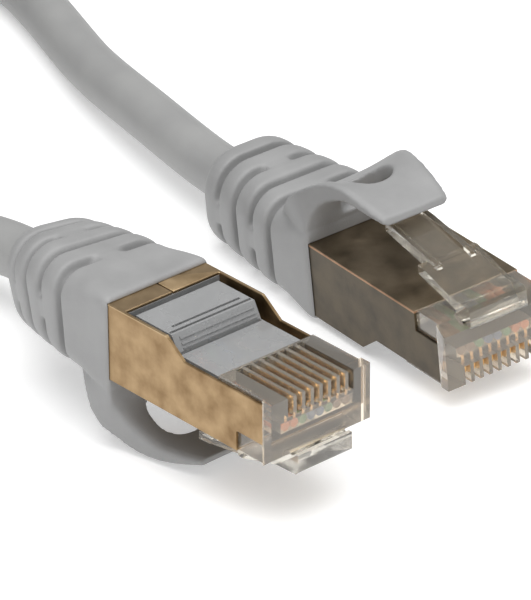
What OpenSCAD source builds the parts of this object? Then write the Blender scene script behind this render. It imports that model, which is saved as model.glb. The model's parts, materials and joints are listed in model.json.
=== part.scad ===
// Shielded eight-way patch cable: two modular plugs with latches and snagless
// boots, and one metre of round cable whose spare length is coiled and tied.
//
// Each plug is drawn in its own frame: +X points out of the nose, +Z points to
// the contact side, and z = 0 is the outer face on the latch side.
// Plug A lies contact side up on its hood, and plug B lies contact side down.

/* [Plug] */
// Width of the plug across the shield
plug_w = 11.7; // [11.5:0.05:11.8]
// Height of the nose, from latch face to contact face
nose_h = 6.5; // [6.3:0.05:6.6]
// Height of the tall rear section
rear_h = 7.8; // [7.6:0.1:8]
// Length of the plug in front of its boot
plug_l = 22; // [21.5:0.1:22.5]
// Number of contacts
contact_count = 8; // [8]
// Distance between contacts
contact_pitch = 1.02; // [1:0.01:1.04]
// Thickness of a contact blade
contact_t = 0.35; // [0.25:0.01:0.38]

/* [Shield] */
// Thickness of the sheet metal
shield_t = 0.3; // [0.2:0.05:0.35]
// Height of the shield's sides beside the contacts
shield_front_h = 6.1; // [5.9:0.1:6.2]
// Length of the cross band on the contact side
band_l = 2.1; // [1.5:0.1:2.5]

/* [Latch] */
// Width of the latch at its root
latch_w = 6.4; // [6:0.1:6.6]
// Width of the latch tail
tail_w = 4.4; // [3.3:0.1:4.6]

/* [Boot] */
// Width of the collar
collar_w = 12.4; // [12.2:0.1:12.8]
// Length of the boot, from its front edge to its rear ring
boot_l = 20.5; // [19:0.5:21]
// Diameter of the rear ring
ring_d = 10.2; // [9.8:0.1:10.6]
// Depth of the flex grooves
groove_depth = 0.9; // [0.5:0.1:1.1]

/* [Hood] */
// Width of the hood's tip
hood_tip_w = 7; // [6:0.2:8]
// Depth of the thumb scoop in the hood
scoop_depth = 0.8; // [0.4:0.1:0.9]

/* [Cable] */
// Diameter of the cable
cable_d = 5.4; // [5:0.1:5.6]
// Radius of the coil at the middle of its turns
coil_mid_r = 29.3; // [28:0.1:31]

/* [Placing] */
// How far plug A's nose dips
plug_a_pitch = 2; // [0:0.5:3]
// How far plug B turns away from plug A
plug_b_yaw = 8; // [6:1:10]
// How far plug B leans on its side
plug_b_roll = 4; // [0:1:5]

/* [Hidden] */
$fn = 48;
eps = 0.01;

// Plug places: the middle of the nose on the latch face
plug_a_at = [24, -15.7, 6.71];
plug_b_at = [18.5, 10.8, 8.98];

// Plug body, as distances behind the nose
inner_w = plug_w - 2 * shield_t;
nose_gap = 1.2;          // the shield starts this far back
notch_x = 4.7;           // end of the shield's corner notch
notch_h = 2;
comb_x = 7.2;            // rear end of the contact comb
floor_z = 5.9;           // panel between the comb and the step
step_foot_x = 13.3;
step_top_x = 14.2;
shoulder_foot_x = 11.7;  // slanting shoulder of the shield's sides
shoulder_top_x = 14.1;
body_back = 23.2;
shield_back = body_back + shield_t;
wire_z = 3.3;
wire_d = 0.9;
wire_end_x = 0.9;
cable_z = 3.9;
bundle_x = 14.5;         // wires leave the foil here
fan_x = 10.8;            // wires reach their row here
jacket_x = 17;           // jacket ends here
bar_front = 7.3;
bar_back = 10.6;

// Latch, and the hinge line it bends about
latch_hinge = [-0.95, -0.15];
latch_root_r = 0.85;
latch_gap = 0.12;

// Boot and hood, and the hinge line the hood bends about
collar_lo = -1.3;
collar_hi = 8.3;
collar_x = plug_l + 6;
boot_back = plug_l + boot_l;
hood_hinge = [-23.2, -2.2];
hood_root_r = 1.4;
hood_gap = 0.2;
arch_at = [-17, 2.2];
arch_r = 9.5;
arch_in_at = [-17, -1.85];
arch_in_r = 3.9;
groove_w = 1.1;
groove_pitch = 3.35;
first_groove = 28.4;

// Cable route: the coil's middle, and hand-chosen points along each lead
coil_at = [-86.8, -10.6];
coil_lift = 0.6;
coil_half_w = 8.4;
coil_h = 2 * cable_d + 0.1;
lead_a = [
    [-23.8, -15.7, 12.2], [-27.8, -15.9, 11.8], [-31.8, -16.3, 10.6], [-36.3, -17.1, 8.7],
    [-41.1, -18.6, 6.5], [-45.6, -20.7, 4.8], [-49.8, -23.3, 3.8], [-53.7, -26.5, 3.4],
    [-57.1, -29.9, 3.3], [-60, -33.1, 3.3]];
lead_b = [
    [-27.8, 17.7, 4.7], [-33.3, 18.8, 4.8], [-39.3, 20.5, 4.6], [-45.3, 22.2, 4.4],
    [-52.3, 24.4, 3.8], [-59.3, 27, 3.1], [-66.3, 30, 2.8], [-73.3, 32.8, 2.8],
    [-80.3, 35.2, 2.8], [-87.3, 36.8, 2.8], [-94.3, 37.3, 3], [-101.3, 36, 3.3],
    [-107.8, 32.5, 3.8], [-113.1, 27.2, 4.6], [-117.1, 20.6, 5.7], [-119.9, 13, 6.9],
    [-121.4, 5, 8], [-121.9, -3, 8.6]];

// ---- shared shapes --------------------------------------------------------

// A side outline (x, z), drawn through a width across the plug
module across(w) {
    rotate([90, 0, 0]) linear_extrude(w, center = true) children();
}

// A box between two x places behind the nose, with its width and z range
module slab(x_back, x_front, w, z_lo, z_hi) {
    translate([-x_back, -w / 2, z_lo]) cube([x_back - x_front, w, z_hi - z_lo]);
}

// A round bar along x at the cable's height
module bar_x(x_back, x_front, d, z = cable_z) {
    translate([-x_back, 0, z]) rotate([0, 90, 0]) cylinder(d = d, h = x_back - x_front);
}

// A bar along x with a rounded rectangular section
module soft_bar(x_back, x_front, w, z_lo, z_hi, r) {
    slab(x_back, x_front, w - 2 * r, z_lo, z_hi);
    slab(x_back, x_front, w, z_lo + r, z_hi - r);
    for (y = [-1, 1], z = [z_lo + r, z_hi - r])
        translate([-x_back, y * (w / 2 - r), z]) rotate([0, 90, 0]) cylinder(r = r, h = x_back - x_front);
}

function contact_y(i) = (i - (contact_count - 1) / 2) * contact_pitch;

// ---- plug body, shield and contacts ---------------------------------------

module body_outline() {
    polygon([
        [-body_back, shield_t], [-notch_x, shield_t], [-notch_x, 0], [-1.1, 0], [0, 0.9], [0, nose_h],
        [-comb_x, nose_h], [-comb_x - 0.3, floor_z], [-step_foot_x, floor_z],
        [-step_top_x, rear_h - shield_t], [-body_back, rear_h - shield_t]]);
}

// Clear housing: nose with a comb of slots, panel, ridged step and hollow rear
module plug_body() {
    ridge_count = 3;
    plate_back = 19.1;
    side_gap = 0.35;
    color([0.82, 0.85, 0.86, 0.45]) difference() {
        union() {
            across(inner_w) body_outline();
            across(plug_w) intersection() {
                body_outline();
                translate([-nose_gap, 0]) square([nose_gap, nose_h]);
            }
            for (i = [1 : ridge_count])
                translate([-step_top_x + 0.26 * i, 0, rear_h - shield_t - 0.46 * i])
                    rotate([0, 60, 0]) cube([0.24, inner_w - 2.4, 0.24], center = true);
        }
        for (i = [0 : contact_count - 1]) translate([0, contact_y(i), 0]) {
            slab(comb_x - 0.3, -eps, 0.62, 4.6, nose_h + 1);
            slab(6.5, 0.9, contact_t + 0.02, wire_z, 4.6 + eps);
        }
        slab(bundle_x, wire_end_x - 0.1, 8.5, wire_z - 0.5, wire_z + 0.5);
        slab(bar_back + eps, bar_front, 8.9, wire_z - 1.1, wire_z + 1.1);
        slab(step_top_x + 0.4, bar_back, 9.6, 1, 5.2);
        slab(body_back + eps, step_top_x + 0.3, 9.6, 0.85, 6.95);
        // score line across the cable clamp bar, and the gaps behind and beside its plate
        slab(15.5, 15.2, 8, 6.5, rear_h);
        slab(plate_back + 0.75, plate_back, plug_w, 6.5, rear_h);
        for (y = [-1, 1])
            translate([0, y * (inner_w - side_gap) / 2, 0])
                slab(plate_back + eps, step_top_x + 0.4, side_gap + eps, 6.9, rear_h);
        // seat for the latch's rounded root
        across(latch_w + 0.3) translate(latch_hinge) circle(r = latch_root_r + latch_gap);
    }
}

// Folded metal shell: two sides, a plate on the latch face, a split cross band,
// and a tail that grips the braid inside the boot
module shield() {
    band_seam = 0.12;
    color([0.78, 0.62, 0.38]) {
        for (y = [-1, 1])
            translate([0, y * (plug_w - shield_t) / 2, 0]) across(shield_t) polygon([
                [-shield_back, 0], [-notch_x, 0], [-notch_x, notch_h], [-nose_gap, notch_h],
                [-nose_gap, shield_front_h], [-shoulder_foot_x, shield_front_h],
                [-shoulder_top_x, rear_h], [-shield_back, rear_h]]);
        slab(shield_back, notch_x, plug_w, 0, shield_t);
        difference() {
            slab(shield_back, plug_l - band_l, plug_w, rear_h - shield_t, rear_h);
            slab(shield_back + 1, plug_l - band_l - 1, band_seam, rear_h - 1, rear_h + 1);
        }
        difference() {
            union() {
                slab(shield_back, body_back, plug_w, 0, rear_h);
                bar_x(28, body_back, 6.6);
            }
            bar_x(29, body_back - 1, 6.1);
        }
    }
}

// One gold blade, with a rounded front shoulder and a foot that meets its wire
module contact() {
    across(contact_t) {
        difference() {
            translate([-6.4, wire_z + wire_d / 2]) square([5.4, 6 - wire_z - wire_d / 2]);
            translate([-7, 3.5]) square([1.6, 1.1]);
        }
        translate([-1.4, 4.75]) square([0.8, 0.85]);
        translate([-1.2, 5.4]) circle(r = 0.6);
    }
}

module contacts() {
    color([0.83, 0.66, 0.3]) for (i = [0 : contact_count - 1])
        translate([0, contact_y(i), 0]) contact();
}

// ---- inside the plug ------------------------------------------------------

// Wire guide with a scalloped slot
module load_bar() {
    color([0.88, 0.9, 0.9, 0.5]) difference() {
        slab(bar_back - 0.05, bar_front + 0.05, 8.8, wire_z - 1, wire_z + 1);
        for (i = [0 : contact_count - 1])
            translate([0, contact_y(i), 0]) bar_x(bar_back + 1, bar_front - 1, 1.04, wire_z);
    }
}

// One wire: straight in the guide, then slanting back into the round bundle
module wire(i) {
    side = i % 2 == 0 ? 1 : -1;
    squeeze = 0.58;
    layer = 0.62;
    y = contact_y(i);
    sweep_tube([
        [-wire_end_x, y, wire_z], [-fan_x, y, wire_z],
        [-bundle_x, y * squeeze, cable_z + side * layer]], wire_d, 12);
}

module wire_pair(first, second, tint) {
    color(tint) {
        wire(first);
        wire(second);
    }
}

// Foil round the bundle, ahead of the jacket
module foil_screen() {
    color([0.75, 0.76, 0.78]) bar_x(jacket_x, bundle_x + 0.3, 4.7);
}

// Braid folded back over the jacket, under the shield's tail
module braid_sleeve() {
    color([0.7, 0.7, 0.68]) difference() {
        bar_x(28.4, 20, 6);
        bar_x(29, 19, cable_d + 0.1);
    }
}

// The cable's jacket inside the boot and the plug
module jacket_end() {
    color([0.62, 0.62, 0.61]) bar_x(boot_back, jacket_x, cable_d);
}

// Hard block moulded on the cable before the boot
module inner_mould() {
    color([0.85, 0.85, 0.83]) difference() {
        union() {
            slab(27.6, shield_back, 10, 0.4, 7.4);
            bar_x(37, 27.5, 7.2);
        }
        bar_x(28.5, shield_back - 1, 6.7);
        bar_x(38, 28, cable_d + 0.1);
    }
}

// ---- latch ----------------------------------------------------------------

// Springy clip: root block under the nose, ramp up to its shoulders, then a
// narrow tail with a rail along each edge
module latch() {
    rail_w = 0.6;
    color([0.85, 0.88, 0.89, 0.5]) {
        across(latch_w) {
            translate(latch_hinge) circle(r = latch_root_r);
            polygon([
                [0.55, 0.7], [0.55, -1], [0.2, -1.35], [-2.4, -1.45], [-7, -2.75], [-7.5, -2.7],
                [-7.5, -1.8], [-6.9, -1.65], [-2.6, -0.6], [-0.95, -0.15], [0.12, 0.7]]);
        }
        across(tail_w) polygon([[-7.2, -2.6], [-12.6, -3.75], [-14, -3.85], [-14, -3.25], [-7.2, -1.9]]);
        for (y = [-1, 1])
            translate([0, y * (tail_w - rail_w) / 2, 0]) across(rail_w)
                polygon([[-5.8, -2.9], [-12.6, -4], [-14, -4.1], [-14, -3.25], [-7.2, -1.9], [-5.8, -2]]);
    }
}

// ---- boot and hood --------------------------------------------------------

// Grooves alternate: two flanks with top and bottom bridges, or over the top
// and bottom with bridges on the flanks
module groove(i) {
    x = first_groove + i * groove_pitch;
    t = (x - collar_x) / boot_l;
    w = collar_w + (ring_d - collar_w) * t - 2 * groove_depth;
    lo = collar_lo + (cable_z - ring_d / 2 - collar_lo) * t + groove_depth;
    hi = collar_hi + (cable_z + ring_d / 2 - collar_hi) * t - groove_depth;
    difference() {
        slab(x + groove_w, x, 20, -6, 14);
        soft_bar(x + groove_w + 1, x - 1, w, lo, hi, 2.6 + t);
        if (i % 2 == 0)
            slab(x + groove_w + 1, x - 1, 3, -7, 15);
        else
            slab(x + groove_w + 1, x - 1, 21, 3, 4.8);
    }
}

// Moulded boot: collar, ramp up to the hood, ribbed taper and rear ring
module boot() {
    color([0.7, 0.7, 0.7]) difference() {
        union() {
            soft_bar(collar_x, plug_l, collar_w, collar_lo, collar_hi, 1.5);
            hull() {
                soft_bar(collar_x + 0.2, collar_x - 0.2, collar_w, collar_lo, collar_hi, 1.5, $fn = 32);
                bar_x(boot_back, boot_back - 2.4, ring_d, $fn = 32);
            }
            across(collar_w) intersection() {
                translate(arch_at) circle(r = arch_r, $fn = 96);
                translate([-27, -6]) square([27 + hood_hinge[0] - 1.2, 6.5]);
            }
        }
        across(collar_w + 2) translate(hood_hinge) circle(r = hood_root_r + hood_gap);
        slab(shield_back, plug_l - 1, plug_w, 0, rear_h);
        slab(27.6, shield_back - eps, 10, 0.4, 7.4);
        bar_x(37, 27, 7.3);
        bar_x(boot_back + 1, 36, cable_d + 0.1);
        for (i = [0 : 3])
            groove(i);
    }
}

// Side outline of the hood: an arch that drops to a thin tip
module hood_side() {
    difference() {
        union() {
            intersection() {
                translate(arch_at) circle(r = arch_r, $fn = 96);
                polygon([
                    [hood_hinge[0] - 1, -9], [-12.2, -9], [-11.8, -5.6], [-11.8, -4.5], [-20, -2],
                    [-21.1, -1.6], [hood_hinge[0], hood_hinge[1] + 1], [hood_hinge[0] - 1, hood_hinge[1] - 0.9]]);
            }
            translate(hood_hinge) circle(r = hood_root_r);
        }
        translate(arch_in_at) circle(r = arch_in_r, $fn = 64);
        polygon([[-16.3, -5.69], [-11, -4.75], [-11, -1], [-20.9, -1], [-20.5, -3]]);
    }
}

// Hood that covers the latch, with a thumb scoop across its crest and a small round window
module hood() {
    scoop_r = 9;
    tip = hood_tip_w / 2;
    root = collar_w / 2;
    window_x = -19.3;
    window_r = 1.95;
    color([0.7, 0.7, 0.7]) difference() {
        intersection() {
            across(collar_w) hood_side();
            translate([0, 0, -9]) linear_extrude(9) polygon([
                [-25, -root], [-21.2, -root], [-17.6, -4.4], [-13.2, -tip - 0.1], [-11.8, -tip + 1.1],
                [-11.8, tip - 1.1], [-13.2, tip + 0.1], [-17.6, 4.4], [-21.2, root], [-25, root]]);
        }
        translate([-24.6, 0, arch_at[1] - arch_r + scoop_depth - scoop_r])
            rotate([0, 90, 0]) cylinder(r = scoop_r, h = 9.6, $fn = 64);
        translate([window_x, 0, -10]) cylinder(r = window_r, h = 9);
    }
}

// ---- cable ----------------------------------------------------------------

function unit(v) = v / norm(v);
function heading(path, i) =
    i == 0 ? unit(path[1] - path[0]) :
    i == len(path) - 1 ? unit(path[i] - path[i - 1]) :
    unit(path[i + 1] - path[i - 1]);
function side_of(dir) = unit(cross([0, 0, 1], dir));

// One closed tube swept along a route, with a many-sided ring at each point
module sweep_tube(path, d, sides = 8) {
    rings = [for (i = [0 : len(path) - 1])
        let (dir = heading(path, i), across_dir = side_of(dir), up_dir = cross(dir, across_dir))
        for (k = [0 : sides - 1])
            path[i] + d / 2 * (cos(360 * k / sides) * across_dir + sin(360 * k / sides) * up_dir)];
    last = (len(path) - 1) * sides;
    walls = [for (i = [0 : len(path) - 2], k = [0 : sides - 1])
        let (a = i * sides + k, b = i * sides + (k + 1) % sides)
        [a, a + sides, b + sides, b]];
    caps = [[for (k = [0 : sides - 1]) k], [for (k = [sides - 1 : -1 : 0]) last + k]];
    polyhedron(points = rings, faces = concat(walls, caps), convexity = 6);
}

// Leads start at the jacket's end face and run straight on from the boot
module cable_lead_a() {
    color([0.62, 0.62, 0.61]) sweep_tube(concat([exit_a, straight_a], lead_a), cable_d);
}

module cable_lead_b() {
    color([0.62, 0.62, 0.61]) sweep_tube(concat([exit_b, straight_b], lead_b), cable_d);
}

module cable_coil() {
    color([0.62, 0.62, 0.61]) translate([coil_at[0], coil_at[1], coil_lift])
        rotate_extrude($fn = 96) translate([coil_mid_r - coil_half_w, 0]) square([2 * coil_half_w, coil_h]);
}

// Flat twist tie round the coil
module coil_tie() {
    tie_w = 4;
    tie_t = 0.5;
    slack = 0.1;
    long = 2 * (coil_half_w + slack + tie_t);
    tall = coil_h + 2 * (slack + tie_t);
    color([0.2, 0.2, 0.21]) translate([coil_at[0], coil_at[1] + coil_mid_r, coil_lift + coil_h / 2])
        difference() {
            cube([tie_w, long, tall], center = true);
            cube([tie_w + 1, long - 2 * tie_t, tall - 2 * tie_t], center = true);
        }
}

// ---- placing --------------------------------------------------------------

function turn_y(p, a) = [p[0] * cos(a) + p[2] * sin(a), p[1], -p[0] * sin(a) + p[2] * cos(a)];
function turn_x(p, a) = [p[0], p[1] * cos(a) - p[2] * sin(a), p[1] * sin(a) + p[2] * cos(a)];
function turn_z(p, a) = [p[0] * cos(a) - p[1] * sin(a), p[0] * sin(a) + p[1] * cos(a), p[2]];

boot_end = [-boot_back, 0, cable_z];
straight_end = [-boot_back - 2, 0, cable_z];
exit_a = plug_a_at + turn_y(boot_end, plug_a_pitch);
straight_a = plug_a_at + turn_y(straight_end, plug_a_pitch);
exit_b = plug_b_at + turn_z(turn_x(boot_end, 180 + plug_b_roll), -plug_b_yaw);
straight_b = plug_b_at + turn_z(turn_x(straight_end, 180 + plug_b_roll), -plug_b_yaw);

module at_a() {
    translate(plug_a_at) rotate([0, plug_a_pitch, 0]) children();
}

module at_b() {
    translate(plug_b_at) rotate([180 + plug_b_roll, 0, -plug_b_yaw]) children();
}

orange = [0.9, 0.45, 0.15];
green = [0.2, 0.55, 0.35];
blue = [0.2, 0.35, 0.65];
brown = [0.45, 0.28, 0.18];

at_a() plug_body();  // plug_body_a
at_a() shield();  // shield_a
at_a() contacts();  // contacts_a
at_a() load_bar();  // load_bar_a
at_a() latch();  // latch_a
at_a() wire_pair(0, 1, orange);  // orange_pair_a
at_a() wire_pair(2, 5, green);  // green_pair_a
at_a() wire_pair(3, 4, blue);  // blue_pair_a
at_a() wire_pair(6, 7, brown);  // brown_pair_a
at_a() foil_screen();  // foil_screen_a
at_a() braid_sleeve();  // braid_sleeve_a
at_a() jacket_end();  // jacket_end_a
at_a() inner_mould();  // inner_mould_a
at_a() boot();  // boot_a
at_a() hood();  // hood_a
at_b() plug_body();  // plug_body_b
at_b() shield();  // shield_b
at_b() contacts();  // contacts_b
at_b() load_bar();  // load_bar_b
at_b() latch();  // latch_b
at_b() wire_pair(0, 1, orange);  // orange_pair_b
at_b() wire_pair(2, 5, green);  // green_pair_b
at_b() wire_pair(3, 4, blue);  // blue_pair_b
at_b() wire_pair(6, 7, brown);  // brown_pair_b
at_b() foil_screen();  // foil_screen_b
at_b() braid_sleeve();  // braid_sleeve_b
at_b() jacket_end();  // jacket_end_b
at_b() inner_mould();  // inner_mould_b
at_b() boot();  // boot_b
at_b() hood();  // hood_b
cable_lead_a();
cable_coil();
cable_lead_b();
coil_tie();
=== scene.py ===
"""Shielded eight-way patch cable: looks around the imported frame.

Lengths are in millimetres in each plug's own frame (+X out of the nose, +Z to the contact side,
z = 0 on the latch-side face) or in the row frame, and MM turns them into Blender's metres.
"""
import json
import math

import bmesh
import bpy
import numpy as np
from mathutils import Matrix, Vector


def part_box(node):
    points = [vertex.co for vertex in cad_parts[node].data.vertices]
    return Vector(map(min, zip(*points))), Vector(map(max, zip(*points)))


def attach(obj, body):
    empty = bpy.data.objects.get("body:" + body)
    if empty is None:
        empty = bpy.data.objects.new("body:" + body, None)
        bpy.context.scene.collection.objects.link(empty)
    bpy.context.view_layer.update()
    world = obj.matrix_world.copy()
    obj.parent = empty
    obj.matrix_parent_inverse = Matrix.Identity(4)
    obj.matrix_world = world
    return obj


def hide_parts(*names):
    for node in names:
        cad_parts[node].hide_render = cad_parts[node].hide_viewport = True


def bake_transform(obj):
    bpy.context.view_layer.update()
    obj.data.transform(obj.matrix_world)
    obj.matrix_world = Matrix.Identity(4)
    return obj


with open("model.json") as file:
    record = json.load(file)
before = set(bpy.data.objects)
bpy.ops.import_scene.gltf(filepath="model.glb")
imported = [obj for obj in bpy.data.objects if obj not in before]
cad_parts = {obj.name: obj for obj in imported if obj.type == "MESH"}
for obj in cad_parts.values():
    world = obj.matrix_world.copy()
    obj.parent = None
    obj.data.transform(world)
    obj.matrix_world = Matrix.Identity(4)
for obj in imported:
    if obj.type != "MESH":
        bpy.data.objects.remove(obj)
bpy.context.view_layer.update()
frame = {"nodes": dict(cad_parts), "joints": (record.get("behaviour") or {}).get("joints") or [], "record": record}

MM = 0.001
RECORD = frame["record"]
SIDES = ("a", "b")

# Plug dimensions shared with the solid model
PLUG_W = 11.7
REAR_H = 7.8
BOOT_FRONT = 22
COLLAR_BACK = 28
COLLAR_HALF_W = 6.2
COLLAR_Z = (-1.3, 8.3)
BOOT_BACK = 42.5
CABLE_Z = 3.9
CABLE_D = 5.4
RING_D = 10.2
LATCH_HINGE = Vector((-0.95, 0, -0.15))
# How far each boot's ribbed tail is bent: sideways and up, in degrees at its ring
BEND = {"a": (24, -25), "b": (0, 0)}
BEND_START = 24.5
BEND_NEUTRAL = 3          # the unstretched line lies this far outside the middle of the bend


# ---- helpers ---------------------------------------------------------------

def lerp(a, b, t):
    return a + (b - a) * t


def smooth_step(lo, hi, value):
    t = min(max((value - lo) / (hi - lo), 0), 1)
    return t * t * (3 - 2 * t)


def plug_matrix(side):
    """From a plug's frame in mm to the row frame in metres, found from its latch's hinge and jack mount."""
    joint = next(j for j in frame["joints"] if j["name"] == f"latch_press_{side}")
    mount = next(m for m in RECORD["mounts"] if m["name"] == f"jack_end_{side}")
    x = Vector(mount["axis"]).normalized()
    y = Vector(joint["axis"]).normalized()
    turn = Matrix((x, y, x.cross(y))).transposed()
    origin = Vector(joint["pos_m"]) - turn @ (LATCH_HINGE * MM)
    return Matrix.Translation(origin) @ turn.to_4x4() @ Matrix.Scale(MM, 4)


PLUG = {side: plug_matrix(side) for side in SIDES}


def add_object(name, mesh, material=None):
    obj = bpy.data.objects.new(name, mesh)
    bpy.context.scene.collection.objects.link(obj)
    if material:
        mesh.materials.append(material)
    return obj


def shade_smooth(mesh):
    mesh.polygons.foreach_set("use_smooth", [True] * len(mesh.polygons))


def loft(bm, rings, closed=False):
    """Joins closed rings of points with quads; caps both ends, or joins the last ring to the first."""
    rows = [[bm.verts.new(p) for p in ring] for ring in rings]
    count = len(rows[0])
    following = rows[1:] + rows[:1] if closed else rows[1:]
    for a, b in zip(rows, following):
        for k in range(count):
            bm.faces.new((a[k], a[(k + 1) % count], b[(k + 1) % count], b[k]))
    if not closed:
        bm.faces.new(list(reversed(rows[0])))
        bm.faces.new(rows[-1])


def outward(bm):
    """The same bmesh with its faces turned to look outward."""
    bmesh.ops.recalc_face_normals(bm, faces=bm.faces)
    return bm


def to_mesh(bm, name):
    mesh = bpy.data.meshes.new(name)
    bm.to_mesh(mesh)
    return mesh


def spline(points, steps):
    """Catmull-Rom samples through a list of tuples, steps per span."""
    pts = [np.array(p, float) for p in points]
    pts = [2 * pts[0] - pts[1]] + pts + [2 * pts[-1] - pts[-2]]
    out = []
    for i in range(1, len(pts) - 2):
        a, b, c, d = pts[i - 1:i + 3]
        for k in range(steps):
            t = k / steps
            out.append(0.5 * (2 * b + (c - a) * t + (2 * a - 5 * b + 4 * c - d) * t * t
                              + (3 * b - a - 3 * c + d) * t ** 3))
    out.append(pts[-2])
    return out


def applied(obj):
    """The object's mesh with its modifiers applied, as a new mesh, and the object removed."""
    graph = bpy.context.evaluated_depsgraph_get()
    mesh = bpy.data.meshes.new_from_object(obj.evaluated_get(graph))
    bpy.data.objects.remove(obj)
    return mesh


def cut_out(mesh, tool_bm):
    """The mesh with the tool's volume cut away."""
    tool = add_object("tool", to_mesh(outward(tool_bm), "tool"))
    draft = add_object("draft", mesh)
    cut = draft.modifiers.new("cut", "BOOLEAN")
    cut.operation = "DIFFERENCE"
    cut.solver = "EXACT"
    cut.object = tool
    mesh = applied(draft)
    bpy.data.objects.remove(tool)
    return mesh


def box_tool(boxes):
    """Boxes to cut away, each given by its x, y and z ranges."""
    bm = bmesh.new()
    for spans in boxes:
        middle = Vector([(lo + hi) / 2 for lo, hi in spans])
        size = [hi - lo for lo, hi in spans]
        bmesh.ops.create_cube(bm, size=1, matrix=Matrix.Translation(middle) @ Matrix.Diagonal((*size, 1)))
    return bm


# ---- materials -------------------------------------------------------------

NOISE_RANGE = (0.3, 0.7)  # the values that a noise mostly stays between
SHADE = 0.94              # the darker end of a clear plastic's colour drift
EDGE_FADE = (0.03, 0.06)  # mm over which the painted edge highlight fades in and out


def node_kit(name):
    mat = bpy.data.materials.new(name)
    mat.use_nodes = True
    nodes, links = mat.node_tree.nodes, mat.node_tree.links
    return mat, nodes, links, nodes["Principled BSDF"]


def noise(nodes, links, size_mm, detail=3.0):
    """A noise texture in object space whose blobs are about size_mm across."""
    coord = nodes.new("ShaderNodeTexCoord")
    tex = nodes.new("ShaderNodeTexNoise")
    tex.inputs["Scale"].default_value = 1 / (size_mm * MM)
    tex.inputs["Detail"].default_value = detail
    links.new(coord.outputs["Object"], tex.inputs["Vector"])
    return tex.outputs["Fac"]


def ramp(nodes, links, fac, low, high):
    """A colour that drifts from low to high with a noise."""
    node = nodes.new("ShaderNodeValToRGB")
    for element, at, colour in zip(node.color_ramp.elements, NOISE_RANGE, (low, high)):
        element.position = at
        element.color = (*colour, 1)
    links.new(fac, node.inputs["Fac"])
    return node.outputs["Color"]


def mapped(nodes, links, value, source, target=(0, 1)):
    """A value taken from the source range to the target range."""
    node = nodes.new("ShaderNodeMapRange")
    node.inputs["From Min"].default_value = source[0]
    node.inputs["From Max"].default_value = source[1]
    node.inputs["To Min"].default_value = target[0]
    node.inputs["To Max"].default_value = target[1]
    links.new(value, node.inputs["Value"])
    return node.outputs["Result"]


def bump(nodes, links, shader, fac, depth_mm):
    node = nodes.new("ShaderNodeBump")
    node.inputs["Strength"].default_value = 1.0
    node.inputs["Distance"].default_value = depth_mm * MM
    links.new(fac, node.inputs["Height"])
    links.new(node.outputs["Normal"], shader.inputs["Normal"])


def surface(name, low, high, blotch=4.0, rough=(0.4, 0.5), grain=0.12, depth=0.01, **fixed):
    """A finished surface: colour drift, uneven gloss and fine grain."""
    mat, nodes, links, shader = node_kit(name)
    drift = noise(nodes, links, blotch)
    fine = noise(nodes, links, grain, 2.0)
    links.new(ramp(nodes, links, drift, low, high), shader.inputs["Base Color"])
    links.new(mapped(nodes, links, drift, NOISE_RANGE, rough), shader.inputs["Roughness"])
    bump(nodes, links, shader, fine, depth)
    for socket, value in fixed.items():
        shader.inputs[socket.replace("_", " ")].default_value = value
    return mat


def clear(name, tint, milk_and_sheen, rough):
    """Moulded clear plastic: gently refracting, with a gloss coat and a share of milkiness, used as a painted
    reflection where it is large.
    """
    low = tuple(c * SHADE for c in tint)
    return surface(name, low, tint, blotch=3, rough=rough, grain=0.9, depth=0.01,
                   Transmission_Weight=1 - milk_and_sheen, IOR=1.18,
                   Coat_Weight=1.0, Coat_Roughness=0.05, Coat_IOR=1.55)


def plug_height(nodes, links, side):
    """Height of the shaded point in a plug's frame, in millimetres."""
    to_plug = PLUG[side].inverted()
    coord = nodes.new("ShaderNodeTexCoord")
    dot = nodes.new("ShaderNodeVectorMath")
    dot.operation = "DOT_PRODUCT"
    dot.inputs[1].default_value = to_plug[2][:3]
    links.new(coord.outputs["Object"], dot.inputs[0])
    lift = nodes.new("ShaderNodeMath")
    lift.operation = "ADD"
    lift.inputs[1].default_value = to_plug[2][3]
    links.new(dot.outputs["Value"], lift.inputs[0])
    return lift.outputs["Value"]


def mixed(nodes, links, amount, first, second):
    """A colour that goes from the first to the second as the amount goes from 0 to 1."""
    node = nodes.new("ShaderNodeMix")
    node.data_type = "RGBA"
    links.new(amount, node.inputs["Factor"])
    links.new(first, node.inputs["A"])
    links.new(second, node.inputs["B"])
    return node.outputs["Result"]


def plated_shell(name, side, upper, shaded_flank, split, edge=None):
    """Flashed sheet metal in two colour drifts that change over at the split height; the drift for the sides is
    painted shade, darker than the upper face's.

    An edge is a third drift and the two heights between which a bright copper line is painted along the upper
    face's rim as a highlight.
    """
    mat, nodes, links, shader = node_kit(name)
    shader.inputs["Metallic"].default_value = 1.0
    drift = noise(nodes, links, 2.4, 4.0)
    height = plug_height(nodes, links, side)
    on_upper = ramp(nodes, links, drift, *upper)
    # painted shade: the sides take a darker drift than the upper face
    shaded_flank_colour = ramp(nodes, links, drift, *shaded_flank)
    colour = mixed(nodes, links, mapped(nodes, links, height, split), shaded_flank_colour, on_upper)
    if edge:
        highlight_colours, low, high = edge
        # painted highlight: a bright copper line along the rim of the upper face
        painted_highlight = ramp(nodes, links, drift, *highlight_colours)
        highlight_band = nodes.new("ShaderNodeMath")
        highlight_band.operation = "MULTIPLY"
        links.new(mapped(nodes, links, height, (low - EDGE_FADE[0], low)), highlight_band.inputs[0])
        links.new(mapped(nodes, links, height, (high + EDGE_FADE[1], high)), highlight_band.inputs[1])
        colour = mixed(nodes, links, highlight_band.outputs["Value"], colour, painted_highlight)
    links.new(colour, shader.inputs["Base Color"])
    links.new(mapped(nodes, links, drift, NOISE_RANGE, (0.28, 0.42)), shader.inputs["Roughness"])
    bump(nodes, links, shader, noise(nodes, links, 0.25, 2.0), 0.003)
    return mat


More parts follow.
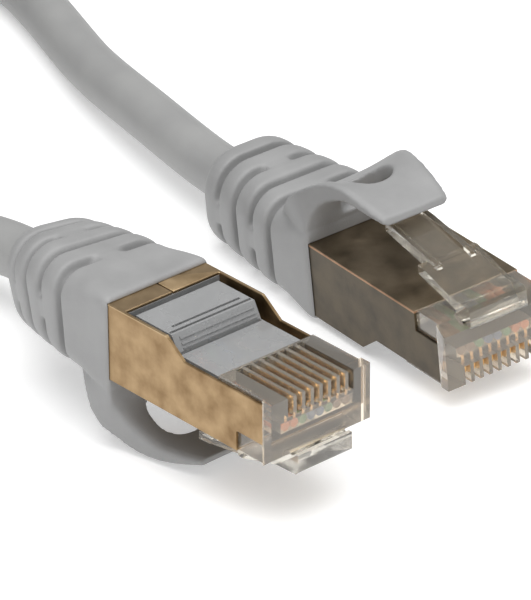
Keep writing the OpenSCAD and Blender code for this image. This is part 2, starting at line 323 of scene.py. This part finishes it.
MATERIALS = {
    "clear_plastic": clear("clear_plastic", (0.88, 0.84, 0.75), 0.04, (0.05, 0.12)),
    "housing_plastic": clear("housing_plastic", (0.93, 0.84, 0.71), 0.13, (0.06, 0.14)),
    # painted reflection: whitish grey over the clear panel behind the contacts
    "painted_reflection_plastic": clear("painted_reflection_plastic", (0.45, 0.455, 0.458), 0.6, (0.2, 0.32)),
    "guide_plastic": surface("guide_plastic", (0.72, 0.74, 0.74), (0.86, 0.87, 0.86), rough=(0.15, 0.3),
                             Transmission_Weight=0.6, IOR=1.5),
    # second drift pair: painted shade on the shell's sides
    "gold_shell": plated_shell("gold_shell", "a", ((0.38, 0.265, 0.145), (0.54, 0.40, 0.24)),
                               ((0.21, 0.13, 0.06), (0.41, 0.285, 0.155)), (7.6, 7.68)),
    # plug b's shell: a darker copy of the gold shell as painted shade, its sides darker still
    "painted_shade_shell": plated_shell("painted_shade_shell", "b", ((0.20, 0.155, 0.10), (0.34, 0.27, 0.185)),
                               ((0.05, 0.04, 0.027), (0.105, 0.085, 0.058)), (0.26, 0.2),
                               # painted highlight along the upper face's rim
                               (((0.22, 0.11, 0.055), (0.44, 0.26, 0.155)), 0.06, 0.2)),
    "contact_gold": surface("contact_gold", (0.72, 0.45, 0.17), (0.90, 0.62, 0.30), blotch=0.8,
                            rough=(0.18, 0.3), grain=0.1, depth=0.003, Metallic=1.0),
    "orange_wire": surface("orange_wire", (0.62, 0.17, 0.04), (0.75, 0.24, 0.07)),
    "green_wire": surface("green_wire", (0.05, 0.25, 0.12), (0.09, 0.34, 0.17)),
    "blue_wire": surface("blue_wire", (0.04, 0.13, 0.38), (0.07, 0.2, 0.5)),
    "brown_wire": surface("brown_wire", (0.17, 0.08, 0.04), (0.25, 0.13, 0.07)),
    "foil": surface("foil", (0.62, 0.63, 0.65), (0.8, 0.81, 0.83), rough=(0.15, 0.35),
                    grain=0.4, depth=0.06, Metallic=1.0),
    "braid": surface("braid", (0.45, 0.44, 0.41), (0.66, 0.65, 0.62), rough=(0.25, 0.4),
                     grain=0.15, depth=0.05, Metallic=1.0),
    "mould_plastic": surface("mould_plastic", (0.62, 0.62, 0.6), (0.72, 0.72, 0.7)),
    "boot_plastic": surface("boot_plastic", (0.268, 0.268, 0.268), (0.312, 0.312, 0.312), blotch=4,
                            rough=(0.46, 0.6), grain=0.16, depth=0.014),
    "cable_jacket": surface("cable_jacket", (0.285, 0.285, 0.283), (0.325, 0.325, 0.32), blotch=6,
                            rough=(0.46, 0.56), grain=0.14, depth=0.012),
    "tie_strip": surface("tie_strip", (0.02, 0.02, 0.022), (0.05, 0.05, 0.055), rough=(0.4, 0.6)),
}


# ---- camera and cord -------------------------------------------------------

CAMERA_AT = (365.25, -314.56, 252.35)
CAMERA_RIGHT = (0.66278, 0.74819, -0.03048)
CAMERA_LOOK = (-0.67625, 0.58058, -0.45344)
CAMERA_LENS = 395.8
CAMERA_SENSOR = 36


def make_camera():
    data = bpy.data.cameras.new("camera")
    data.sensor_fit = "HORIZONTAL"
    data.sensor_width = CAMERA_SENSOR
    data.lens = CAMERA_LENS
    right = Vector(CAMERA_RIGHT).normalized()
    look = Vector(CAMERA_LOOK).normalized()
    turn = Matrix((right, (-look).cross(right), -look)).transposed()
    camera = bpy.data.objects.new("camera", data)
    camera.matrix_world = Matrix.Translation(Vector(CAMERA_AT) * MM) @ turn.to_4x4()
    bpy.context.scene.collection.objects.link(camera)
    bpy.context.scene.camera = camera


make_camera()

# Listed points along each lead, in the row frame
LEAD_A = [
    (-19.7, -10.5, 7.1), (-24.2, -9.2, 6.2), (-29.1, -8.7, 5.6), (-34, -9.4, 5.1),
    (-38.7, -11.2, 4.6), (-43.1, -13.8, 4.1), (-46.9, -17, 3.7), (-50.2, -20.8, 3.4),
    (-53.5, -24.8, 3.3), (-56.8, -29, 3.3), (-60, -33.1, 3.3)]
LEAD_B = [
    (-27.8, 17.7, 4.7), (-33.3, 18.8, 4.8), (-39.3, 20.5, 4.6), (-45.3, 22.2, 4.4),
    (-52.3, 24.4, 3.8), (-59.3, 27, 3.1), (-66.3, 30, 2.8), (-73.3, 32.8, 2.8),
    (-80.3, 35.2, 2.8), (-87.3, 36.8, 2.8), (-94.3, 37.3, 3), (-101.3, 36, 3.3),
    (-107.8, 32.5, 3.8), (-113.1, 27.2, 4.6), (-117.1, 20.6, 5.7), (-119.9, 13, 6.9),
    (-121.4, 5, 8), (-121.9, -3, 8.6)]
COIL_AT = (-86.8, -10.6)
COIL_ENTRY = -40          # degrees round the coil where lead A joins it
COIL_OUTER_R = 35
COIL_GROWTH = 5.6         # spacing of neighbouring turns
COIL_FLAT = 2.1           # turns in the lower layer
COIL_CLIMB = 0.2          # turns taken to climb to the upper layer
COIL_TURNS = 4.389
COIL_Z = (3.3, 8.8)
PER_TURN = 24
CORD_TUCK = 1.5           # how far each end of the cord goes inside its boot


def coil_point(turns):
    inner_r = COIL_OUTER_R - COIL_GROWTH * COIL_FLAT
    up = turns - COIL_FLAT - COIL_CLIMB
    radius = max(COIL_OUTER_R - COIL_GROWTH * turns, inner_r)
    if up > 0:
        radius = inner_r + COIL_GROWTH * up
    z = lerp(*COIL_Z, smooth_step(COIL_FLAT, COIL_FLAT + COIL_CLIMB, turns))
    angle = math.radians(COIL_ENTRY - 360 * turns)
    return (COIL_AT[0] + radius * math.cos(angle), COIL_AT[1] + radius * math.sin(angle), z)


def bent_point(side, back, off=Vector((0, 0, 0))):
    """Where a point of the boot goes when its tail is bent: back behind the nose, off its middle line."""
    total = math.radians(math.hypot(*BEND[side]))
    run = back - BEND_START
    if not total or run <= 0:
        return Vector((-back, 0, CABLE_Z)) + off
    length = BOOT_BACK - BEND_START
    radius = length / total - BEND_NEUTRAL
    aside = Vector((0, *BEND[side])).normalized()
    phi = total * min(run / length, 1)
    heading = Vector((-math.cos(phi), 0, 0)) + aside * math.sin(phi)
    at = Vector((-BEND_START - radius * math.sin(phi), 0, CABLE_Z)) + aside * radius * (1 - math.cos(phi))
    turn = Matrix.Rotation(phi, 3, Vector((0, aside.z, -aside.y)))
    return at + heading * max(run - length, 0) + turn @ off


def exit_point(side):
    return PLUG[side] @ bent_point(side, BOOT_BACK)


def make_cord():
    inside = {s: PLUG[s] @ bent_point(s, BOOT_BACK - CORD_TUCK) for s in SIDES}
    steps = int(COIL_TURNS * PER_TURN)
    coil = [coil_point(COIL_TURNS * k / steps) for k in range(1, steps)]
    route = [Vector(p) * MM for p in LEAD_A + coil + LEAD_B[::-1]]
    route = [inside["a"], exit_point("a")] + route + [exit_point("b"), inside["b"]]
    curve = bpy.data.curves.new("cable", "CURVE")
    curve.dimensions = "3D"
    curve.bevel_depth = CABLE_D / 2 * MM
    curve.bevel_resolution = 9
    curve.use_fill_caps = True
    line = curve.splines.new("NURBS")
    line.points.add(len(route) - 1)
    for point, at in zip(line.points, route):
        point.co = (*at, 1)
    line.order_u = 4
    line.use_endpoint_u = True
    line.resolution_u = 5
    curve.materials.append(MATERIALS["cable_jacket"])
    cord = bpy.data.objects.new("cable", curve)
    bpy.context.scene.collection.objects.link(cord)
    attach(cord, "root")
    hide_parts("cable_lead_a", "cable_coil", "cable_lead_b")
    return cord


def add_tie_band(bm, middle, half):
    """The strip round the coil's turns, with its wire standing out along the middle."""
    thick = 0.45 * MM
    wire_rise = 0.25 * MM
    wire_half = 0.18 * half.x
    power = 5                 # how square the loop is
    count = 64
    rings = []
    for k in range(count):
        a = 2 * math.pi * k / count
        reach = (abs(math.cos(a)) ** power + abs(math.sin(a)) ** power) ** (-1 / power)
        heading = Vector((0, reach * math.cos(a), reach * math.sin(a)))
        outer = Vector((0, half.y * heading.y, half.z * heading.z))
        inner = outer - heading * thick
        crest = outer + heading * wire_rise
        section = [(-half.x, inner), (half.x, inner), (half.x, outer), (wire_half, outer),
                   (0, crest), (-wire_half, outer), (-half.x, outer)]
        rings.append([middle + at + Vector((x, 0, 0)) for x, at in section])
    loft(bm, rings, closed=True)


def add_tie_tails(bm, start):
    """The strip's two ends, twisted together along +Y and then spread apart."""
    tail = 15 * MM
    turns = 3
    twist_rate = 1.35         # the twist is done before the tail's end
    spread_from = 0.74
    apart = (0.42 * MM, 3.6 * MM)
    side_shift = 1.2 * MM
    half_w = 0.95 * MM
    half_thick = 0.22 * MM
    steps = 48
    for strand in (0, math.pi):
        rings = []
        for k in range(steps + 1):
            t = k / steps
            a = strand + 2 * math.pi * turns * min(t * twist_rate, 1)
            across = Vector((math.cos(a), 0, math.sin(a)))
            at = start + Vector((side_shift * math.sin(strand), tail * t, 0))
            at += across * (apart[0] + apart[1] * max(t - spread_from, 0))
            flat = Vector((-math.sin(a), 0, math.cos(a))) * half_w
            thin = across * half_thick
            rings.append([at + flat + thin, at - flat + thin, at - flat - thin, at + flat - thin])
        loft(bm, rings)


def make_tie():
    """Twist tie: a strip round the coil's turns, and its two ends twisted together on top."""
    low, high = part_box("coil_tie")
    middle = (low + high) / 2
    half = (high - low) / 2
    bm = bmesh.new()
    add_tie_band(bm, middle, half)
    add_tie_tails(bm, middle + Vector((0, -6 * MM, half.z + 1.1 * MM)))
    tie = add_object("coil_twist_tie", to_mesh(outward(bm), "coil_twist_tie"), MATERIALS["tie_strip"])
    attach(tie, "root")
    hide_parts("coil_tie")
    return tie


cord = make_cord()
tie = make_tie()


# ---- boot and hood, one moulding -------------------------------------------

GROOVE_FIRST = 28.4
GROOVE_PITCH = 3.35
GROOVE_W = 1.1
GROOVE_DEPTH = 1.15
GROOVES = 4
GROOVE_WALL = 0.2         # length over which a groove's side drops
RIB_BULGE = 0.14
VOXEL = 0.2

# Webs that bridge the grooves, over the middle of top and bottom and half way up the flanks in turn:
# the distances from there between which a groove reaches its depth
WEB_MIDDLE = (1.2, 1.8)
WEB_FLANK = (0.9, 1.5)
WEB_FLANK_Z = 0.1

# Corners and ends of the boot
CORNER_R = (0.8, 2.6)     # at the boot's front and at the collar's back
TAIL_ROUNDING = 1.5       # what the corners gain from there to the ring
FRONT_EASE = 0.5
FRONT_INSET = 0.25
END_EASE = 1.8
END_INSET = 1.6
SOCKET_X = (-23.5, -19.5)
SOCKET_PLAY = 0.02

# Window through the hood, behind its crest
WINDOW_X = (-22.8, -17.4)
WINDOW_W = 4.6
WINDOW_R = 2.25
WINDOW_Z = (-9, -1.9)

# Hood stations from the boot to the tip: outer x z, inner x z, half width, dip of the scoop
HOOD = [
    (-28.2, -0.8, -26, 1.5, 4.6, 0), (-26.6, -2.5, -24.4, 1.2, 5.4, 0.1), (-24.9, -4.1, -22.6, 0.6, 6, 0.7),
    (-23.2, -5.5, -22, -1.4, 6.1, 1.35), (-21.7, -6.45, -21.7, -2.9, 5.45, 1.5),
    (-20.3, -7.05, -20.8, -4.1, 5.05, 1.3), (-18.8, -7.3, -19.4, -4.9, 4.75, 1.0),
    (-17.2, -7.2, -17.5, -5.5, 4.5, 0.7), (-15.4, -6.8, -15.5, -5.35, 4.3, 0.45),
    (-13.6, -6.25, -13.6, -5.1, 4.05, 0.25), (-12.1, -5.75, -11.9, -4.9, 3.75, 0.1)]
HOOD_STEPS = 6
SCOOP_POWER = 1.2
EDGE_FROM = 0.86          # share of the half width where the hood's edges begin to turn in
OUTER_EDGE = 0.35
INNER_EDGE = 0.25
INNER_NARROWER = 0.15


def rounded_outline(half_y, half_z, radius):
    """Points round a rounded rectangle, each with its outward direction."""
    arc_steps = 10
    side_steps = 14
    out = []
    for quarter in range(4):
        sy, sz = ((1, 1), (-1, 1), (-1, -1), (1, -1))[quarter]
        middle = (sy * (half_y - radius), sz * (half_z - radius))
        for k in range(arc_steps + 1):
            a = math.pi / 2 * (quarter + k / arc_steps)
            normal = (math.cos(a), math.sin(a))
            out.append((middle[0] + radius * normal[0], middle[1] + radius * normal[1], *normal))
        after = ((-1, 1), (-1, -1), (1, -1), (1, 1))[quarter]
        start, normal = out[-1][:2], out[-1][2:]
        target = (after[0] * (half_y - radius) + radius * normal[0],
                  after[1] * (half_z - radius) + radius * normal[1])
        for k in range(1, side_steps):
            t = k / side_steps
            out.append((lerp(start[0], target[0], t), lerp(start[1], target[1], t), *normal))
    return out


def groove_cut(back):
    """Groove number and depth at a distance behind the nose, and how much the rib there stands out."""
    index, inside = divmod(back - GROOVE_FIRST, GROOVE_PITCH)
    if not 0 <= index < GROOVES:
        return 0, 0, 0
    if inside < GROOVE_W:
        share = min(1, inside / GROOVE_WALL, (GROOVE_W - inside) / GROOVE_WALL)
        return int(index), GROOVE_DEPTH * share, 0
    rib = (inside - GROOVE_W) / (GROOVE_PITCH - GROOVE_W)
    return int(index), 0, RIB_BULGE * (1 - (2 * rib - 1) ** 4)


def boot_ring(back):
    """One section of the boot at a distance behind the nose."""
    t = max(back - COLLAR_BACK, 0) / (BOOT_BACK - COLLAR_BACK)
    half_y = lerp(COLLAR_HALF_W, RING_D / 2, t)
    lo = lerp(COLLAR_Z[0], CABLE_Z - RING_D / 2, t)
    hi = lerp(COLLAR_Z[1], CABLE_Z + RING_D / 2, t)
    corner = lerp(*CORNER_R, smooth_step(BOOT_FRONT, COLLAR_BACK, back)) + TAIL_ROUNDING * t
    front = max(1 - (back - BOOT_FRONT) / FRONT_EASE, 0)
    tail = max(back - (BOOT_BACK - END_EASE), 0) / END_EASE
    inset = FRONT_INSET * front ** 2 + END_INSET * (1 - math.sqrt(max(1 - tail * tail, 0)))
    index, cut, bulge = groove_cut(back)
    ring = []
    for y, z, out_y, out_z in rounded_outline(half_y, (hi - lo) / 2, corner):
        if index % 2 == 0:
            open_share = smooth_step(*WEB_MIDDLE, abs(y))
        else:
            open_share = smooth_step(*WEB_FLANK, abs(z - WEB_FLANK_Z))
        push = bulge - cut * open_share - inset
        ring.append(Vector((-back, y + out_y * push, (lo + hi) / 2 + z + out_z * push)))
    return ring


def hood_ring(station):
    """One section of the hood: a dished outer face and a flat inner face with soft corners."""
    outer_x, outer_z, inner_x, inner_z, half, dip = station
    across = np.linspace(-1, 1, 15)
    ring = []
    for u in across:
        edge = OUTER_EDGE * smooth_step(EDGE_FROM, 1, abs(u))
        ring.append(Vector((outer_x, u * half, outer_z + dip * (1 - u * u) ** SCOOP_POWER + edge)))
    for u in across[::-1]:
        edge = INNER_EDGE * smooth_step(EDGE_FROM, 1, abs(u))
        ring.append(Vector((inner_x, u * (half - INNER_NARROWER), inner_z - edge)))
    return ring


def lofted(rings, name):
    bm = bmesh.new()
    loft(bm, rings)
    return to_mesh(outward(bm), name)


def moulding_mesh():
    """Boot and hood run together into one skin."""
    step = 0.15
    backs = [BOOT_FRONT + step * k for k in range(int((BOOT_BACK - BOOT_FRONT) / step) + 1)]
    boot = lofted([boot_ring(b) for b in backs + [BOOT_BACK]], "boot")
    hood = lofted([hood_ring(s) for s in spline(HOOD, HOOD_STEPS)], "hood")
    both = bmesh.new()
    both.from_mesh(boot)
    both.from_mesh(cut_out(hood, window_tool()))
    draft = add_object("draft", to_mesh(both, "moulding"))
    remesh = draft.modifiers.new("remesh", "REMESH")
    remesh.mode = "VOXEL"
    remesh.voxel_size = VOXEL
    soften = draft.modifiers.new("soften", "SMOOTH")
    soften.factor = 0.5
    soften.iterations = 4
    return applied(draft)


def socket_tool():
    """The space in the boot's front for the plug's shell."""
    half_w = PLUG_W / 2 + SOCKET_PLAY
    return box_tool([(SOCKET_X, (-half_w, half_w), (-SOCKET_PLAY, REAR_H + SOCKET_PLAY))])


def window_tool():
    """A rounded prism through the hood."""
    bm = bmesh.new()
    middle = (WINDOW_X[0] + WINDOW_X[1]) / 2
    outline = rounded_outline((WINDOW_X[1] - WINDOW_X[0]) / 2, WINDOW_W / 2, WINDOW_R)
    loft(bm, [[Vector((middle + x, y, z)) for x, y, *_ in outline] for z in WINDOW_Z])
    return bm


def bend(verts, side):
    """Moves vertices in the plug's frame along with the boot's bend."""
    for vert in verts:
        vert.co = bent_point(side, -vert.co.x, Vector((0, vert.co.y, vert.co.z - CABLE_Z)))


MOULDING = cut_out(moulding_mesh(), socket_tool())
shade_smooth(MOULDING)

for side in SIDES:
    mesh = MOULDING.copy()
    bend(mesh.vertices, side)
    mesh.name = f"boot_and_hood_{side}"
    mesh.transform(PLUG[side])
    piece = add_object(f"boot_and_hood_{side}", mesh, MATERIALS["boot_plastic"])
    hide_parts(f"boot_{side}", f"hood_{side}")
    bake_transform(piece)


# ---- plug parts ------------------------------------------------------------

# Gaps beside the housing's panel and grooves across its step: x, y and z ranges
PANEL_GAPS = [
    ((-19.7, -7.7), (-5.6, -5.05), (5.1, 8)), ((-19.7, -7.7), (4.75, 5.6), (5.1, 8)),
    ((-14.75, -14.45), (-4.95, 4.65), (6.9, 8)), ((-13.35, -13.05), (-4.95, 4.65), (5.45, 6.4))]
PANEL_FROM = (-7.3, 5.3)  # the panel with the painted reflection lies behind this x and above this z
HOUSING_ROUND = 0.1
EDGE_ROUND = {"shield": 0.12, "latch": 0.12, "load_bar": 0.05, "contacts": 0.04}


def slot_of(name):
    return next(s["material_slot"] for s in RECORD["subparts"] if s["node"] == name)


def round_edges(obj, width_mm):
    weld = obj.modifiers.new("weld", "WELD")
    weld.merge_threshold = 0.002 * MM
    bevel = obj.modifiers.new("bevel", "BEVEL")
    bevel.width = width_mm * MM
    bevel.segments = 2
    bevel.limit_method = "ANGLE"
    bevel.angle_limit = math.radians(35)


def dress_node(name, node):
    """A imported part's material and softened edges."""
    material = MATERIALS[slot_of(name)]
    # plug b's shell gets the painted shade copy of the gold shell
    if name == "shield_b":
        material = MATERIALS["painted_shade_shell"]
    if not node.material_slots:
        node.data.materials.append(material)
    for entry in node.material_slots:
        entry.material = material
    width = EDGE_ROUND.get(name[:-2])
    if width:
        round_edges(node, width)


def make_housing(side):
    """The plug's clear housing with softened edges; its panel behind the contacts gets a painted reflection, a
    whitish grey.
    """
    node = frame["nodes"][f"plug_body_{side}"]
    to_plug = PLUG[side].inverted()
    mesh = node.data.copy()
    mesh.transform(to_plug)
    mesh = cut_out(mesh, box_tool(PANEL_GAPS))
    mesh.transform(PLUG[side])
    draft = add_object("draft", mesh)
    round_edges(draft, HOUSING_ROUND)
    mesh = applied(draft)
    mesh.name = f"housing_{side}"
    mesh.materials.clear()
    mesh.materials.append(MATERIALS["housing_plastic"])
    mesh.materials.append(MATERIALS["painted_reflection_plastic"])
    for face in mesh.polygons:
        at = to_plug @ face.center
        # the panel's faces get the painted reflection material
        face.material_index = 1 if at.x < PANEL_FROM[0] and at.z > PANEL_FROM[1] else 0
    housing = add_object(f"housing_{side}", mesh)
    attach(housing, "root")
    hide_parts(f"plug_body_{side}")


def make_bent_inside(part, side):
    """A copy of a part inside the boot that follows the boot's bend."""
    name = f"{part}_{side}"
    bm = bmesh.new()
    bm.from_mesh(frame["nodes"][name].data)
    bm.transform(PLUG[side].inverted())
    for back in range(int(BEND_START), int(BOOT_BACK) + 1):
        bmesh.ops.bisect_plane(bm, geom=bm.verts[:] + bm.edges[:] + bm.faces[:],
                               plane_co=(-back, 0, 0), plane_no=(1, 0, 0))
    bend(bm.verts, side)
    bm.transform(PLUG[side])
    piece = add_object(f"bent_{name}", to_mesh(bm, f"bent_{name}"), MATERIALS[slot_of(name)])
    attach(piece, "root")
    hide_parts(name)


for name, node in frame["nodes"].items():
    dress_node(name, node)
for side in SIDES:
    make_housing(side)
    if any(BEND[side]):
        for part in ("braid_sleeve", "jacket_end", "inner_mould"):
            make_bent_inside(part, side)


# ---- stage -----------------------------------------------------------------

FLOOR_SIZE = 6
FLOOR_TONE = 0.8
FLOOR_GLOW = 0.35
FLOOR_DROP = 0.1          # mm below the cable, so that nothing touches it
SKY = 0.38


def make_stage():
    bm = bmesh.new()
    bmesh.ops.create_grid(bm, x_segments=1, y_segments=1, size=FLOOR_SIZE)
    mat, nodes, links, shader = node_kit("floor_white")
    shader.inputs["Base Color"].default_value = (FLOOR_TONE, FLOOR_TONE, FLOOR_TONE, 1)
    shader.inputs["Roughness"].default_value = 0.9
    shader.inputs["Emission Color"].default_value = (1, 1, 1, 1)
    shader.inputs["Emission Strength"].default_value = FLOOR_GLOW
    floor = add_object("floor", to_mesh(bm, "floor"), mat)
    floor.location.z = -FLOOR_DROP * MM
    world = bpy.data.worlds.new("studio")
    world.use_nodes = True
    sky = world.node_tree.nodes["Background"]
    sky.inputs["Color"].default_value = (1, 1, 1, 1)
    sky.inputs["Strength"].default_value = SKY
    bpy.context.scene.world = world
    bpy.context.scene.view_settings.view_transform = "Standard"


def soft_light(name, at, size, power):
    """A square area light that looks at the frame's origin."""
    data = bpy.data.lights.new(name, "AREA")
    data.shape = "RECTANGLE"
    data.size = size
    data.size_y = size
    data.energy = power
    light = bpy.data.objects.new(name, data)
    light.location = at
    light.rotation_euler = (-Vector(at)).to_track_quat("-Z", "Y").to_euler()
    bpy.context.scene.collection.objects.link(light)


make_stage()
soft_light("overhead", (0.15, -0.1, 0.9), 1.0, 10.7)
soft_light("front", (0.7, -0.75, 0.45), 0.6, 1.2)
